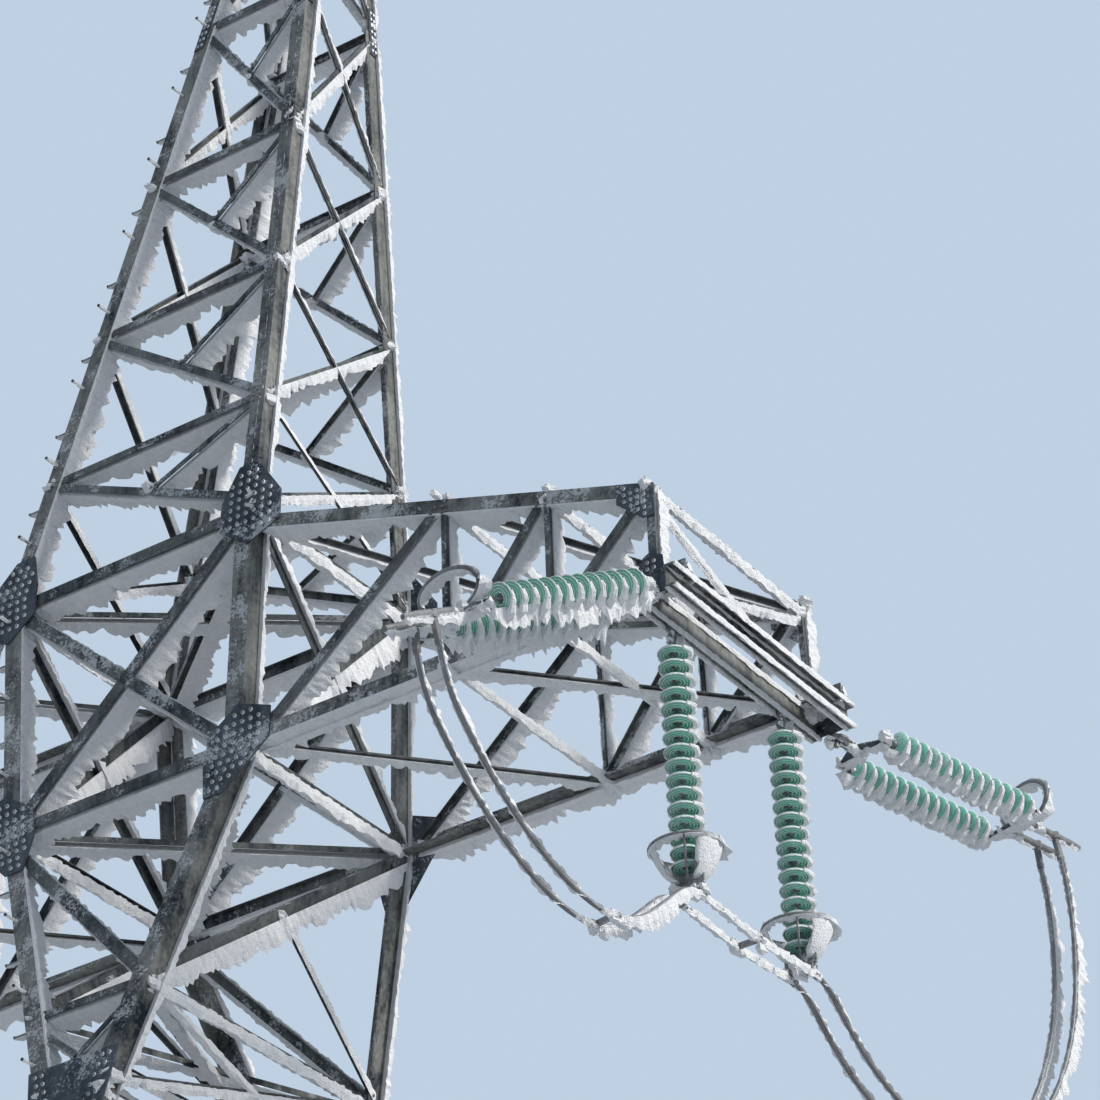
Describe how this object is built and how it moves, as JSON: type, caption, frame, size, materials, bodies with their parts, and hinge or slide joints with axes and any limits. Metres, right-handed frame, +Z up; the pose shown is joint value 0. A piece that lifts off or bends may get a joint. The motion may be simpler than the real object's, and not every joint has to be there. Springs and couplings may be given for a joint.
{
  "type": "lattice transmission pylon",
  "caption": "Portal lattice pylon with crossbeam, side arms and earth-wire peaks, carrying glass insulator strings and looped jumper conductors.",
  "frame": {"origin": "ground level under the middle of the crossbeam", "axes": "+X along the crossbeam toward the pictured arm, +Y along the line away from the camera, +Z up"},
  "size_m": [23.4869, 10.0288, 32.28],
  "materials": {
    "leg_steel": "galvanised, weathered",
    "brace_steel": "galvanised, weathered",
    "plate_steel": "galvanised, weathered",
    "fitting_iron": "hot-dip galvanised",
    "insulator_glass": "toughened green glass",
    "conductor": "stranded, dull"
  },
  "bodies": {
    "root": {"arm_bottom_lattices": "brace_steel", "arm_chords": "leg_steel", "arm_end_frames": "brace_steel", "arm_front_lattices": "brace_steel", "arm_rear_lattices": "brace_steel", "arm_top_lattices": "brace_steel", "base_plates": "plate_steel", "beam_bottom_lattice": "brace_steel", "beam_chords": "leg_steel", "beam_front_lattice": "brace_steel", "beam_rear_lattice": "brace_steel", "beam_top_lattice": "brace_steel", "column_front_lattices": "brace_steel", "column_inner_lattices": "brace_steel", "column_legs": "leg_steel", "column_outer_lattices": "brace_steel", "column_rear_lattices": "brace_steel", "column_ties": "brace_steel", "dead_end_clamps": "fitting_iron", "gusset_plates": "plate_steel", "head_front_lattices": "brace_steel", "head_inner_lattices": "brace_steel", "head_legs": "leg_steel", "head_outer_lattices": "brace_steel", "head_rear_lattices": "brace_steel", "jumper_left_inner": "conductor", "jumper_left_outer": "conductor", "jumper_middle_inner": "conductor", "jumper_middle_outer": "conductor", "jumper_right_inner": "conductor", "jumper_right_outer": "conductor", "jumper_saddles": "fitting_iron", "jumper_spacers": "fitting_iron", "mast_diaphragms": "brace_steel", "peak_caps": "plate_steel", "peak_front_lattices": "brace_steel", "peak_inner_lattices": "brace_steel", "peak_legs": "leg_steel", "peak_outer_lattices": "brace_steel", "peak_rear_lattices": "brace_steel", "peak_splice_plates": "plate_steel", "string_anchors": "plate_steel", "string_beams": "leg_steel", "support_caps": "fitting_iron", "support_glass_discs": "insulator_glass", "tension_caps": "fitting_iron", "tension_glass_discs": "insulator_glass", "tension_yokes": "fitting_iron"}
  },
  "joints": []
}
